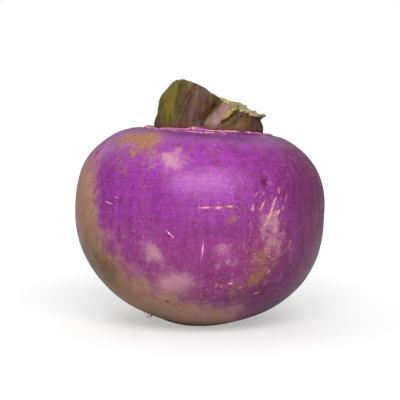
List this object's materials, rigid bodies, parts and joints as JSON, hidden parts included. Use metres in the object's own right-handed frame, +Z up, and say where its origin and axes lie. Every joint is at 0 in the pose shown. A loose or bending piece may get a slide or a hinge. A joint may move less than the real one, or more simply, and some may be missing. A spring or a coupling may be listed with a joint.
{
  "type": "turnip",
  "caption": "Round purple-top turnip with a cream underside, standing on its small trimmed root scar, with the cut bases of its leaf stalks on a flat crown.",
  "frame": {"origin": "middle of the flat root scar that the turnip stands on", "axes": "+Z up through the leaning root and its crown, +X towards the side that the crown leans to, -Y towards the side with the cream flank at its left"},
  "size_m": [0.0904, 0.0886, 0.09],
  "materials": {
    "root_skin": "smooth, slightly waxy vegetable skin, violet above and cream below",
    "stalk_skin": "satin leaf-stalk skin, olive green to mauve brown, with pale cut ends",
    "young_stalk_skin": "satin, pale yellow-green young stalk skin with pale cut ends",
    "bud_skin": "satin, folded yellow-green bud"
  },
  "bodies": {
    "root": {"swollen_root": "root_skin", "leaf_stalk_left": "stalk_skin", "leaf_stalk_front": "stalk_skin", "leaf_stalk_right": "stalk_skin", "leaf_stalk_back": "stalk_skin", "leaf_stalk_back_left": "stalk_skin", "young_stalk_front": "young_stalk_skin", "young_stalk_right": "young_stalk_skin", "young_stalk_left": "young_stalk_skin", "heart_bud": "bud_skin"}
  },
  "joints": []
}
